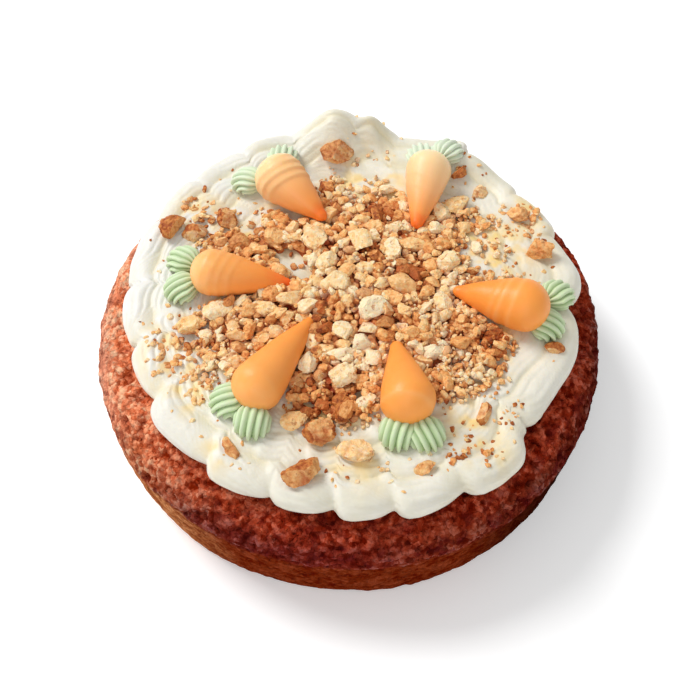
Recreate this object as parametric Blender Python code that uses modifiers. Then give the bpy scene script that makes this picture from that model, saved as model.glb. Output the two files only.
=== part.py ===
"""A carrot cake, 20 cm across: a round sponge, a layer of piped frosting with a scalloped edge,
a heap of chopped walnuts, six piped carrots with two leaf shells each, and the walnut pieces
that lie apart from the heap.

The cake stands on z = 0, centred on the Z axis. Everything is in metres, with +Z up, and angles
are in degrees, anticlockwise from +X as seen from above.
"""

import math
import random

import bmesh
import bpy
from mathutils import Matrix, Vector

MM = 0.001
GAP = 0.3 * MM  # between the sponge, the frosting and the heap
CUT_GAP = 0.4 * MM  # how far a cutter stands off the topping that it is a copy of

# Sponge
SPONGE_RADIUS = 100 * MM
SPONGE_HEIGHT = 44.4 * MM
SHOULDER_WIDTH = 16 * MM
SHOULDER_DROP = 12 * MM
SIDE_TAPER = 3 * MM
FOOT_ROUNDING = 3 * MM
SPONGE_STEPS = 48

# Frosting
LAYER = 9.6 * MM  # thickness away from the edge
RIM_DIP = 1 * MM  # how much lower the layer is in the cusps of its edge
RIM_WIDTH = 14 * MM
CUSP_DEPTH = 3.6 * MM  # how far the edge draws in between two scallops
SCALLOP_RISE = 2 * MM  # how much higher its crown is than the cusps beside it
FROSTING_STEPS = 75
SCALLOPS = (  # start angle, reach in mm, and lean: under 1, it is widest before its middle
    (-186, 87.5, 0.75), (-167, 85, 0.9), (-149, 86.5, 0.75), (-126, 87.5, 0.75), (-109, 87, 0.9),
    (-93, 88.5, 0.8), (-79, 90, 0.7), (-62, 92, 0.75), (-40, 89.5, 2), (1, 94.5, 0.7),
    (22, 94.5, 0.75), (38, 93.5, 0.8), (56, 97, 0.8), (76, 97, 0.9), (88, 98, 0.8),
    (106, 96, 0.8), (121, 94, 0.75), (137, 93, 0.75), (152, 90.5, 0.7),
)  # fmt: skip
PEAKS = (  # radius and angle, spread, and height above the layer, of the tall ends of the piping
    (87, 94, 13, 15), (89, 83, 7, 8), (92, 56, 12, 9), (88, 117, 14, 4), (88, 138, 14, 3),
    (87, 155, 9, 2), (88, 36, 9, 2),
)  # fmt: skip
FLAT_RADIUS = 64 * MM  # inside this the top is flat, under the heap
PEAK_FADE = 12 * MM  # over this width outside it, the peaks come in
EDGE_LIFT = 0.8 * MM  # how far the underside curls off the sponge's shoulder

# Heap of chopped walnuts
HEAP_CROWN = 6.5 * MM
HEAP_EDGE = 2.4 * MM
HEAP_LUMPS = 0.9 * MM  # how far its top is pushed up and down
HEAP_SEED = 5
HEAP_STEPS = 34
HEAP_REACH = (  # angle and outline radius in mm
    (0, 60), (30, 69), (58, 58), (92, 60), (118, 54), (141, 55), (158, 64), (178, 52),
    (205, 62), (235, 50), (265, 55), (292, 50), (325, 64),
)  # fmt: skip

# Piped carrots: polar place of the middle of the fat end, polar place of the tip, both in mm
# and degrees, the radii of the fat end and the tip in mm, the bend of the taper (1 is straight,
# more is fuller), and the two leaves: direction, and distance in mm from the fat end's middle.
CARROTS = (
    ((68.0, 60.8), (44.0, 51.1), 9.5, 2.6, 1.25, (55, 14), (98, 12)),
    ((61.3, 117.5), (39.7, 106.9), 10.8, 3.6, 1.5, (88, 15), (163, 13.5)),
    ((53.0, 172.7), (24.5, 169.4), 9.2, 2.2, 1.6, (141, 14.5), (197, 11)),
    ((54.6, 233.8), (20.4, 223.4), 9.5, 2.0, 1.3, (194, 12.3), (262, 11.5)),
    ((53.8, 292.8), (31.6, 304.5), 10.0, 2.8, 1.2, (250, 12), (301, 13.8)),
    ((66.7, 352.8), (41.4, 363.7), 10.2, 2.6, 1.6, (329, 12), (389, 15)),
)
CARROT_END = 0.88  # length of the round end beyond the fat end's middle, as a share of its radius
CARROT_SINK = 1.4 * MM  # how deep the fat end sits in the frosting
TIP_LIFT = 2 * MM  # how far the tip's underside is above the frosting
CARROT_STEPS = 12

# Leaf shells
LEAF_LENGTH = 13.5 * MM
LEAF_WIDTH = 12.4 * MM
LEAF_HEIGHT = 9.2 * MM
LEAF_SINK = 1.4 * MM
LEAF_RIDGES = 10
LEAF_RIDGE_DEPTH = 0.07  # as a share of the radius
LEAF_TAPER = 0.62  # width at the inner end, as a share of the full width
LEAF_RINGS = 5

# Walnut pieces apart from the heap: radius in mm, angle, length and width in mm, and turn
WALNUTS = (
    (71.5, 94.5, 14, 11, 20), (78.5, 155.5, 12, 9, 70), (69.5, 152, 10, 8, 10), (63.5, 141, 11, 8, 110),
    (61.5, 260, 12, 9, 30), (76, 258.6, 14, 10, 15), (66, 272.3, 13, 9, 165), (76.5, 237.4, 9, 5, 120),
    (76.5, 290.5, 8, 5, 20), (69.8, 313.7, 9, 5, 60), (80, 343, 8, 5, 10), (78.5, 16.5, 8, 10, 75),
    (81, 31, 9, 7, 140), (77, 45, 8, 6, 40),
)  # fmt: skip
WALNUT_HEIGHT = 0.75  # as a share of the width
WALNUT_SINK = 1.2 * MM
WALNUT_ROUGHNESS = 0.16
WALNUT_SEED = 11


def polar(radius, angle):
    """A point on the ground plane."""
    turn = math.radians(angle)
    return Vector((radius * math.cos(turn), radius * math.sin(turn), 0))


def smooth(t):
    """Eases from 0 to 1 with level ends."""
    t = min(max(t, 0), 1)
    return t * t * (3 - 2 * t)


def between(table, angle):
    """The value at an angle, eased between the rows of a closed table of (angle, value)."""
    angle %= 360
    rows = list(table) + [(table[0][0] + 360, table[0][1])]
    for (start, low), (end, high) in zip(rows, rows[1:]):
        if start <= angle <= end:
            return low + (high - low) * smooth((angle - start) / (end - start))
    return table[0][1]


# The surfaces that the pieces share


def sponge_top(radius):
    """Height of the sponge at a radius: flat in the middle, then a rounded shoulder."""
    inner = SPONGE_RADIUS - SHOULDER_WIDTH
    t = min(max((radius - inner) / SHOULDER_WIDTH, 0), 1)
    return SPONGE_HEIGHT - SHOULDER_DROP * (1 - math.sqrt(1 - t * t))


def scallop(angle):
    """Reach of the scallop at an angle and its swell, 0 at its cusps and 1 where it is widest."""
    first = SCALLOPS[0][0]
    angle = first + (angle - first) % 360
    ends = [row[0] for row in SCALLOPS[1:]] + [first + 360]
    for (start, reach, lean), end in zip(SCALLOPS, ends):
        if angle <= end:
            share = (angle - start) / (end - start)
            return reach * MM, math.sin(math.pi * share**lean)
    return SCALLOPS[0][1] * MM, 0


def frosting_edge(angle):
    """Radius of the frosting's edge."""
    reach, swell = scallop(angle)
    return reach - CUSP_DEPTH * (1 - swell)


def peak_height(point):
    """How far the tall ends of the piping stand above the layer at a point."""
    height = 0
    for radius, angle, spread, top in PEAKS:
        away = (point - polar(radius * MM, angle)).length / (spread * MM)
        height += top * MM * math.exp(-away * away)
    return height


def frosting_thickness(point):
    """Thickness of the layer, lower in the cusps along the edge and higher at the peaks."""
    angle = math.degrees(math.atan2(point.y, point.x))
    _, swell = scallop(angle)
    near_edge = smooth(1 - (frosting_edge(angle) - point.length) / RIM_WIDTH)
    near_peak = smooth((point.length - FLAT_RADIUS) / PEAK_FADE)
    rim = SCALLOP_RISE * swell - RIM_DIP
    return LAYER + rim * near_edge + peak_height(point) * near_peak


def frosting_under(point):
    """Height of the frosting's underside, which curls up a little over the sponge's shoulder."""
    shoulder = SPONGE_RADIUS - SHOULDER_WIDTH
    lift = EDGE_LIFT * smooth((point.length - shoulder) / (SHOULDER_WIDTH * 0.6))
    return sponge_top(point.length) + GAP + lift


def frosting_top(point):
    """Height of the frosting's upper side."""
    return frosting_under(point) + frosting_thickness(point)


FLAT_TOP = SPONGE_HEIGHT + GAP + LAYER  # height of the frosting's flat middle


# Meshes


def spun(profile, steps):
    """A closed round mesh from a profile of (radius, height) that starts and ends on the axis."""
    mesh = bmesh.new()
    verts = [mesh.verts.new((radius, 0, height)) for radius, height in profile]
    edges = [mesh.edges.new(pair) for pair in zip(verts, verts[1:])]
    bmesh.ops.spin(
        mesh, geom=verts + edges, cent=(0, 0, 0), axis=(0, 0, 1), angle=2 * math.pi, steps=steps
    )
    bmesh.ops.remove_doubles(mesh, verts=mesh.verts, dist=1e-5)
    bmesh.ops.recalc_face_normals(mesh, faces=mesh.faces)
    return mesh


def new_object(name, mesh, material, collection):
    """Makes an object of a bmesh, shaded smooth, and frees the bmesh."""
    data = bpy.data.meshes.new(name)
    mesh.to_mesh(data)
    mesh.free()
    data.materials.append(material)
    data.shade_smooth()
    made = bpy.data.objects.new(name, data)
    collection.objects.link(made)
    return made


def material(name, color, roughness):
    made = bpy.data.materials.new(name)
    made.use_nodes = True
    shader = made.node_tree.nodes["Principled BSDF"]
    shader.inputs["Base Color"].default_value = (*color, 1)
    shader.inputs["Roughness"].default_value = roughness
    shader.inputs["Metallic"].default_value = 0
    return made


def cutter_of(piece, collection):
    """A copy of a topping that stands off it on every side, to cut what it lies on."""
    made = piece.copy()
    made.name = piece.name + "_cutter"
    collection.objects.link(made)
    made.hide_render = True
    made.display_type = "WIRE"
    swell = made.modifiers.new("clearance", "DISPLACE")
    swell.strength = CUT_GAP
    swell.mid_level = 0
    return made


def cut(piece, cutters):
    for cutter in cutters:
        slot = piece.modifiers.new("room for " + cutter.name, "BOOLEAN")
        slot.operation = "DIFFERENCE"
        slot.solver = "EXACT"
        slot.object = cutter


# Pieces


def make_sponge(collection):
    """The uncut sponge: a profile down the outer side, turned round the axis."""
    inner = SPONGE_RADIUS - SHOULDER_WIDTH
    profile = [(0, SPONGE_HEIGHT)]
    for turn in (0, 25, 45, 60, 75, 90):
        radius = inner + SHOULDER_WIDTH * math.sin(math.radians(turn))
        profile.append((radius, sponge_top(radius)))
    side_top = SPONGE_HEIGHT - SHOULDER_DROP
    for share in (0.35, 0.7):
        profile.append((SPONGE_RADIUS - SIDE_TAPER * share**1.6, side_top * (1 - share)))
    foot = SPONGE_RADIUS - SIDE_TAPER - FOOT_ROUNDING
    for turn in (0, 45, 90):
        out, down = math.cos(math.radians(turn)), math.sin(math.radians(turn))
        profile.append((foot + FOOT_ROUNDING * out, FOOT_ROUNDING * (1 - down)))
    profile.append((0, 0))

    data = bpy.data.meshes.new("sponge")
    edges = [(i, i + 1) for i in range(len(profile) - 1)]
    data.from_pydata([(radius, 0, height) for radius, height in profile], edges, [])
    data.materials.append(material("sponge_crust", (0.25, 0.075, 0.03), 0.7))
    made = bpy.data.objects.new("sponge", data)
    collection.objects.link(made)
    turned = made.modifiers.new("turned", "SCREW")
    turned.axis = "Z"
    turned.angle = 2 * math.pi
    turned.steps = SPONGE_STEPS
    turned.render_steps = SPONGE_STEPS
    turned.use_merge_vertices = True
    turned.merge_threshold = 0.00001
    return made


def make_frosting(collection):
    """A round blank, its rim rolled, whose points are moved out to the scalloped edge."""
    # Share of the edge's radius, and share of the layer's thickness, from under the middle
    # round the rim to the top of the middle.
    profile = [(0, 0), (0.6, 0), (0.86, 0), (0.94, 0), (0.98, 0.12), (1, 0.38), (0.985, 0.68)]
    profile += [(0.95, 0.9), (0.9, 1), (0.84, 1), (0.76, 1), (0.66, 1), (0, 1)]
    mesh = spun(profile, FROSTING_STEPS)
    for vert in mesh.verts:
        level = vert.co.z
        angle = math.degrees(math.atan2(vert.co.y, vert.co.x))
        point = Vector((vert.co.x, vert.co.y, 0)) * frosting_edge(angle)
        point.z = frosting_under(point) + level * frosting_thickness(point)
        vert.co = point
    return new_object("frosting", mesh, material("frosting_cream", (0.85, 0.82, 0.7), 0.55), collection)


def make_heap(collection):
    """The heap out to its uneven outline, flat underneath and lumpy on top."""
    profile = [(0, 0), (0.97, 0), (1, 0.45), (0.94, 1), (0.75, 1), (0.5, 1), (0.25, 1), (0, 1)]
    mesh = spun(profile, HEAP_STEPS)
    rng = random.Random(HEAP_SEED)
    for vert in mesh.verts:
        share, level = Vector((vert.co.x, vert.co.y)).length, vert.co.z
        reach = between(HEAP_REACH, math.degrees(math.atan2(vert.co.y, vert.co.x))) * MM
        height = HEAP_EDGE + (HEAP_CROWN - HEAP_EDGE) * smooth(1.25 * (1 - share))
        height += rng.uniform(-HEAP_LUMPS, HEAP_LUMPS)
        point = Vector((vert.co.x, vert.co.y, 0)) * reach
        vert.co = point + Vector((0, 0, FLAT_TOP + GAP + level * height))
    return new_object("nut_heap", mesh, material("chopped_walnut", (0.6, 0.33, 0.13), 0.6), collection)


def carrot_profile(fat, thin, bend, length):
    """(radius, height) from the round end at the bottom to the tip, with the fat end's middle at 0."""
    points = [(0, -fat * CARROT_END)]
    for turn in (30, 58, 85):
        out, down = math.sin(math.radians(turn)), math.cos(math.radians(turn))
        points.append((fat * out, -fat * CARROT_END * down))
    for share in (0.22, 0.5, 0.78, 1):
        points.append((fat + (thin - fat) * share**bend, length * share))
    points.append((thin * 0.6, length + thin * 0.75))
    points.append((0, length + thin))
    return points


def make_carrot(number, place, tip, fat, thin, bend, orange, collection):
    """A turned teardrop that lies with its fat end in the frosting and its tip lifted."""
    start = polar(place[0] * MM, place[1])
    end = polar(tip[0] * MM, tip[1])
    start.z = FLAT_TOP + fat * MM - CARROT_SINK
    end.z = FLAT_TOP + thin * MM + TIP_LIFT
    axis = end - start
    mesh = spun(carrot_profile(fat * MM, thin * MM, bend, axis.length), CARROT_STEPS)
    made = new_object(f"carrot_{number}", mesh, orange, collection)
    made.rotation_euler = axis.to_track_quat("Z", "Y").to_euler()
    made.location = start
    return made


def make_leaf(name, root, direction, distance, green, collection):
    """A piped shell: a blunt teardrop with ridges that fan out from its inner end."""
    mesh = bmesh.new()
    bmesh.ops.create_uvsphere(mesh, u_segments=2 * LEAF_RIDGES, v_segments=LEAF_RINGS, radius=1)
    for vert in mesh.verts:
        x, y, z = vert.co
        ridge = 1 + LEAF_RIDGE_DEPTH * math.cos(LEAF_RIDGES * math.atan2(y, x))
        wide = ridge * (LEAF_TAPER + (1 - LEAF_TAPER) * smooth((z + 1) / 1.4))
        vert.co = (x * wide * LEAF_HEIGHT / 2, y * wide * LEAF_WIDTH / 2, z * LEAF_LENGTH / 2)
    made = new_object(name, mesh, green, collection)
    outward = polar(1, direction)
    sideways = Vector((0, 0, 1)).cross(outward)
    made.rotation_euler = Matrix((Vector((0, 0, 1)), sideways, outward)).transposed().to_euler()
    made.location = root + outward * distance * MM
    made.location.z = frosting_top(made.location) + LEAF_HEIGHT / 2 - LEAF_SINK
    return made


def make_walnut(number, row, rng, brown, collection):
    """A broken lump with its corners pushed in and out."""
    radius, angle, length, width, turn = row
    mesh = bmesh.new()
    bmesh.ops.create_icosphere(mesh, subdivisions=2, radius=0.5)
    for vert in mesh.verts:
        vert.co *= 1 + rng.uniform(-WALNUT_ROUGHNESS, WALNUT_ROUGHNESS)
    bmesh.ops.scale(mesh, vec=(length * MM, width * MM, width * WALNUT_HEIGHT * MM), verts=mesh.verts)
    made = new_object(f"walnut_{number:02d}", mesh, brown, collection)
    made.rotation_euler.z = math.radians(turn)
    made.location = polar(radius * MM, angle)
    made.location.z = frosting_top(made.location) + width * WALNUT_HEIGHT * MM / 2 - WALNUT_SINK
    return made


def main():
    for old in list(bpy.data.objects):
        bpy.data.objects.remove(old, do_unlink=True)
    parts = bpy.data.collections.new("carrot_cake")
    cutters = bpy.data.collections.new("cutters")
    bpy.context.scene.collection.children.link(parts)
    bpy.context.scene.collection.children.link(cutters)

    make_sponge(parts)
    frosting = make_frosting(parts)
    heap = make_heap(parts)

    orange = material("carrot_orange", (1.0, 0.33, 0.06), 0.45)
    green = material("leaf_green", (0.42, 0.66, 0.38), 0.5)
    brown = material("walnut_brown", (0.4, 0.16, 0.05), 0.6)
    toppings = []
    for number, (place, tip, fat, thin, bend, *leaves) in enumerate(CARROTS, 1):
        carrot = make_carrot(number, place, tip, fat, thin, bend, orange, parts)
        carrot_cutter = cutter_of(carrot, cutters)
        leaf_cutters = []
        root = polar(place[0] * MM, place[1])
        for letter, (direction, distance) in zip("ab", leaves):
            leaf = make_leaf(f"leaf_{number}{letter}", root, direction, distance, green, parts)
            leaf_cutter = cutter_of(leaf, cutters)
            cut(leaf, [carrot_cutter] + leaf_cutters)
            leaf_cutters.append(leaf_cutter)
        toppings += [carrot_cutter] + leaf_cutters
    rng = random.Random(WALNUT_SEED)
    for number, row in enumerate(WALNUTS, 1):
        walnut = make_walnut(number, row, rng, brown, parts)
        toppings.append(cutter_of(walnut, cutters))
    cut(frosting, toppings)
    cut(heap, toppings)


main()
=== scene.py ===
import math

import bpy
import numpy as np
from mathutils import Matrix, Vector


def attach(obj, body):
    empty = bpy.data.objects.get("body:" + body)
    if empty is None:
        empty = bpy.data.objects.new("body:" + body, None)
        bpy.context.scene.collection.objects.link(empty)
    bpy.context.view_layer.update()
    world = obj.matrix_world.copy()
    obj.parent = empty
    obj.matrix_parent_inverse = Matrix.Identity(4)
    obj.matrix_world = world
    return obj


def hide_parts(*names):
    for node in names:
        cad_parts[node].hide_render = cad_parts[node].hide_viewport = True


# A round carrot cake: crumbly browned sponge, piped cream frosting with a scalloped edge, a heap of
# chopped walnuts, and six piped carrots with their leaves.

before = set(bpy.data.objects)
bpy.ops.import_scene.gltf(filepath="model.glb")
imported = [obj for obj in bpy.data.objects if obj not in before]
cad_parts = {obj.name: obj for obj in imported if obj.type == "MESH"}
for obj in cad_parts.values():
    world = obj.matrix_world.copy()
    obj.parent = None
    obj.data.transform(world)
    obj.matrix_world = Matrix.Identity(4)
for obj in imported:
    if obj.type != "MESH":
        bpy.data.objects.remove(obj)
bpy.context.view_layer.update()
MM = 0.001

# Sponge, in mm
SPONGE_RADIUS = 100
SPONGE_HEIGHT = 44.4
SHOULDER_WIDTH = 16
SHOULDER_DROP = 12
SIDE_TAPER = 3
FOOT_ROUNDING = 3
SPONGE_STEPS = 760
CRUST_LIP, CRUST_LIP_TURN, CRUST_LIP_WIDTH = 4.5, 17, 17  # the shoulder stands higher on one side

# Frosting, in mm and degrees
LAYER = 9.6
RIM_DIP = 1
RIM_WIDTH = 14
CUSP_DEPTH = 3
LOBE_FULLNESS = 0.7
SCALLOP_RISE = 1.4
EDGE_LIFT = 0.8
SCALLOPS = (  # start angle, reach, and lean: under 1, it is widest before its middle
    (-186, 87.5, 0.75), (-167, 85, 0.9), (-149, 86.5, 0.75), (-126, 87.5, 0.75), (-109, 87, 0.9),
    (-93, 88.5, 0.8), (-79, 90, 0.7), (-62, 92, 0.75), (-40, 89.5, 2), (1, 93.5, 0.7),
    (22, 93.5, 0.75), (38, 93.5, 0.8), (56, 97, 0.8), (76, 97, 0.9), (88, 98, 0.8),
    (106, 96, 0.8), (121, 94, 0.75), (137, 93, 0.75), (152, 90.5, 0.7),
)
NOTCHES = ((1, 2.5, 5), (-42, 5, 3.5), (-29, 2.5, 9))  # angle, depth and half width of dents in the edge
PEAKS = (  # radius and angle, spread, and height above the layer, of the tall ends of the piping
    (87, 94, 13, 15), (89, 83, 7, 8), (92, 56, 12, 9), (88, 117, 14, 4), (88, 138, 14, 3),
    (87, 155, 9, 2), (88, 36, 9, 2),
)
FLAT_RADIUS = 64
PEAK_FADE = 12
FROSTING_STEPS = 720
LANES = (0, 13, 24.5, 35, 46)  # depth from the edge at which each piped turn begins
LANE_SHIFT = (0, 8, 3, 11)  # degrees that each turn's scallops are shifted by
SLANT = 0.35  # degrees per mm that the joins between scallops lean as they run inwards
GROOVE_PITCH = 3.1

# Heap of chopped walnuts
HEAP_CROWN = 6.5
HEAP_EDGE = 2.4
CORE_DEPTH = 3.4
HEAP_REACH = (  # angle and outline radius
    (0, 60), (30, 69), (58, 58), (92, 60), (118, 54), (141, 55), (158, 64), (178, 52),
    (205, 62), (235, 50), (265, 55), (292, 50), (325, 64),
)

GAPS = (  # x, y, half width, half depth, and how much of the heap is missing
    (-25, 18, 7, 6, 0.98), (-17, 11, 7, 5, 0.98), (-41, 38, 5, 9, 0.9), (-9, 36, 4, 3, 0.9),
    (6, 58, 20, 10, 0.65), (60, 24, 17, 18, 0.85), (42, -51, 11, 7, 0.6), (-60, -23, 10, 12, 0.5), (-2, -62, 12, 6, 0.4),
)
BROWN_PATCHES = (  # x, y, half width, half depth, and how much browner (or paler, if negative); browner is partly brown skin and partly painted shade between the lumps
    (-37, 25, 13, 7, 0.65), (11, 42, 5, 7, 1), (26, 7, 8, 8, 0.8), (9, 19, 5, 5, 0.8),
    (-8, 19, 4, 4, 0.5), (28, 27, 6, 5, 0.4), (-9, -14, 5, 7, 0.8), (9, -17, 4, 5, 0.5),
    (39, 1, 5, 5, -0.6), (-8, 2, 4, 4, -0.5), (-50, -29, 9, 7, -0.5), (-20, 30, 9, 6, -0.3), (-15, -43, 7, 13, 0.9),
    (51, -21, 9, 8, 1), (-3, -49, 7, 6, 0.7), (31, -43, 6, 8, 0.6), (5, -28, 12, 10, -0.4),
    (37, -30, 12, 12, -0.3), (8, 56, 16, 8, -0.3), (-49, -16, 8, 10, 0.2),
)
FINE_PATCHES = (  # x, y, half width, half depth, and the share of large pieces that is missing
    (40, -28, 17, 20, 0.85), (-58, -22, 12, 12, 0.7), (8, 60, 22, 9, 0.6), (60, 30, 16, 16, 0.7),
)
SMEARS = (  # x, y and spread of the nut dust and oil on the frosting
    (-62, -24, 15), (-58, -42, 8), (75, 42, 11), (44, -52, 11), (60, 25, 15), (-60, 42, 10),
    (-46, -66, 6), (10, 60, 16), (48, -64, 8), (2, -68, 10),
)
SPRINKLES = (  # x, y, spread, count, largest size, tone, share that is brown
    (75, 42, 6, 60, 4.5, 0.5, 0.1), (58, 34, 9, 50, 3.5, 0.75, 0.15), (66, 12, 6, 25, 3, 0.7, 0.2),
    (-62, -24, 9, 110, 4, 0.6, 0.1), (-52, -40, 5, 20, 3, 0.6, 0.2), (62, -50, 5, 16, 3, 0.4, 0.5),
    (44, -66, 6, 30, 3.5, 0.35, 0.6), (52, -58, 9, 30, 2, 0.6, 0.3), (-46, -66, 6, 14, 2.5, 0.7, 0.2),
    (-59, 42, 7, 45, 4, 0.6, 0.25), (-48, 52, 6, 14, 2.5, 0.7, 0.2), (48, 60, 8, 26, 2.5, 0.6, 0.4),
    (6, -70, 12, 30, 2.6, 0.75, 0.25), (8, 66, 12, 40, 3, 0.8, 0.2), (-8, -76, 9, 12, 2, 0.5, 0.5),
    (76, -2, 5, 14, 2.2, 0.6, 0.4), (-72, 10, 5, 8, 2, 0.7, 0.3), (0, 0, 46, 160, 1.8, 0.5, 0.7),
)
KEY_LUMPS = (  # x, y, length, width, turn, tone, skin
    (-14, -32, 9, 7, 80, 0.95, 0), (-3, -29, 11, 6, 5, 1, 0), (-4, -37, 10, 9, 30, 0.85, 0),
    (-2, -49, 11, 9, 70, 0.3, 1), (5, -47, 8, 5, 30, 0.95, 0), (8, -10, 12, 10, 40, 1, 0),
    (-13, -22, 8, 7, 60, 0.8, 0), (-3, -19, 9, 8, 110, 0.85, 0), (8, -29, 7, 6, 90, 0.9, 0),
    (-20, -55, 10, 7, 0, 0.6, 0), (-9, 55, 9, 7, 80, 0.2, 1), (12, 40, 9, 6, 100, 0.2, 1),
    (-12, 24, 12, 10, 120, 0.75, 0.1), (-7, 14, 10, 8, 70, 0.8, 0), (-30, 27, 11, 9, 30, 0.5, 0.5),
    (-43, 26, 10, 9, 150, 0.45, 0.7), (18, 18, 12, 8, 70, 0.85, 0), (26, 22, 10, 7, 20, 0.6, 0.2),
    (4, 24, 12, 9, 100, 0.75, 0), (20, 2, 11, 9, 140, 0.55, 0.2), (38, 13, 10, 8, 30, 0.8, 0),
    (-6, 3, 12, 9, 10, 0.8, 0), (-22, -4, 11, 8, 50, 0.7, 0.1), (46, 46, 12, 9, 30, 0.7, 0),
    (38, 40, 10, 8, 120, 0.85, 0), (-50, -9, 12, 8, 20, 0.85, 0), (-60, -14, 11, 8, 170, 0.6, 0),
    (46.6, 62.4, 8, 6, 70, 0.2, 0.9), (24, 68, 6, 4, 80, 0.2, 1), (30, 64, 5, 3.5, 0, 0.3, 0.8),
)

# Carrots: polar place of the middle of the fat end and of the tip, their radii, the bend of the
# taper, and the two leaves' directions and distances.
CARROTS = (
    ((68.0, 60.8), (44.0, 51.1), 9.5, 2.6, 1.25, (55, 14), (98, 12)),
    ((61.3, 117.5), (39.7, 106.9), 10.8, 3.6, 1.5, (88, 15), (163, 12.8)),
    ((53.0, 172.7), (24.5, 169.4), 9.2, 2.2, 1.6, (141, 14.2), (197, 10.8)),
    ((54.6, 233.8), (20.4, 223.4), 9.5, 2.0, 1.3, (194, 9.4), (262, 9.5)),
    ((53.8, 292.8), (31.6, 304.5), 10.0, 2.8, 1.2, (250, 8.7), (301, 10.6)),
    ((67.0, 351.6), (42.5, 359.8), 10.2, 2.6, 1.6, (333, 7.7), (395, 15.5)),
)
CARROT_END = 0.88
CARROT_SINK = 1.4
TIP_LIFT = 2
RIPPLES = (  # for each carrot, places along it as a share of its length, and how deep
    ((0.30, 0.12), (0.5, 0.1)),
    ((-0.16, 0.5), (0.0, 0.55), (0.15, 0.6), (0.3, 0.55)),
    ((-0.05, 0.22), (0.08, 0.25), (0.2, 0.22), (0.33, 0.18)),
    ((0.05, 0.1),),
    ((-0.14, 0.3),),
    ((0.12, 0.3), (0.3, 0.35), (0.42, 0.2)),
)
CARROT_TINTS = (  # for each carrot, its tint at the fat end and at the tip, and how much painted light is washed over its fat end; the fat ends of the carrots on the lit side start paler, which is painted light too
    (0, 0.95, 0.8), (0, 0.9, 0.5), (0.05, 1, 0.1), (0.2, 0.75, 0.05), (0.35, 0.7, 0),
    (0.45, 0.85, 0),
)
LEAF_LENGTH = 12.2
LEAF_WIDTH = 14.6
LEAF_HEIGHT = 9.8
LEAF_SINK = 2
LEAF_RIDGES = 13
LEAF_ROLL = 112  # degrees that the ribs' far ends are turned down

# Walnut pieces apart from the heap: radius, angle, length, width and turn
WALNUTS = (
    (71.5, 94.5, 14, 11, 20), (78.5, 155.5, 12, 9, 70), (69.5, 152, 10, 8, 10), (63.5, 141, 11, 8, 110),
    (61.5, 260, 12, 9, 30), (76, 258.6, 14, 10, 15), (66, 272.3, 13, 9, 165), (76.5, 237.4, 9, 5, 120),
    (76.5, 290.5, 8, 5, 20), (69.8, 313.7, 9, 5, 60), (80, 343, 8, 5, 10), (78.5, 16.5, 8, 10, 75),
    (81, 31, 9, 7, 140), (77, 45, 8, 6, 40),
)
WALNUT_SKIN = (0.8, 1, 1, 1, 1, 1, 0.15, 0.6, 0.3, 1, 1, 0.05, 0.4, 0.3)  # share that is brown skin


# Measures shared by the pieces


def smooth(t):
    t = np.clip(t, 0, 1)
    return t * t * (3 - 2 * t)


def polar(radius, angle):
    turn = np.radians(angle)
    return radius * np.cos(turn), radius * np.sin(turn)


def wander(x, y, size, seed):
    """A smooth random field from -1 to 1 whose features have this size."""
    grid = np.random.default_rng(seed).uniform(-1, 1, (97, 97))
    u, v = np.asarray(x) / size + 500, np.asarray(y) / size + 500
    i, j = np.floor(u).astype(int), np.floor(v).astype(int)
    a, b = smooth(u - i), smooth(v - j)
    i, j = i % 96, j % 96
    low = grid[i, j] * (1 - a) + grid[i + 1, j] * a
    high = grid[i, j + 1] * (1 - a) + grid[i + 1, j + 1] * a
    return low * (1 - b) + high * b


def sponge_top(radius):
    t = np.clip((radius - (SPONGE_RADIUS - SHOULDER_WIDTH)) / SHOULDER_WIDTH, 0, 1)
    return SPONGE_HEIGHT - SHOULDER_DROP * (1 - np.sqrt(1 - t * t))


def scallop(angle):
    """For each angle the scallop's number, the share along it, its reach and its swell."""
    rows = np.array(SCALLOPS)
    starts = rows[:, 0]
    angle = starts[0] + (angle - starts[0]) % 360
    number = np.searchsorted(starts, angle, side="right") - 1
    ends = np.append(starts[1:], starts[0] + 360)
    share = (angle - starts[number]) / (ends[number] - starts[number])
    return number, share, rows[number, 1], np.sin(np.pi * share ** rows[number, 2]) ** LOBE_FULLNESS


def frosting_edge(angle):
    _, _, reach, swell = scallop(angle)
    dent = 0
    for turn, deep, wide in NOTCHES:
        away = (angle - turn + 180) % 360 - 180
        dent = dent + deep * np.exp(-((away / wide) ** 2))
    return reach - CUSP_DEPTH * (1 - swell) - dent


def frosting_under(radius):
    lift = EDGE_LIFT * smooth((radius - SPONGE_RADIUS + SHOULDER_WIDTH) / (SHOULDER_WIDTH * 0.6))
    return sponge_top(radius) + 0.3 + lift


def frosting_thickness(x, y):
    radius, angle = np.hypot(x, y), np.degrees(np.arctan2(y, x))
    _, _, _, swell = scallop(angle)
    near_edge = smooth(1 - (frosting_edge(angle) - radius) / RIM_WIDTH)
    peaks = 0
    for out, turn, spread, height in PEAKS:
        px, py = polar(out, turn)
        peaks = peaks + height * np.exp(-((x - px) ** 2 + (y - py) ** 2) / spread**2)
    near_peak = smooth((radius - FLAT_RADIUS) / PEAK_FADE)
    return LAYER + (SCALLOP_RISE * swell - RIM_DIP) * near_edge + peaks * near_peak


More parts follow.
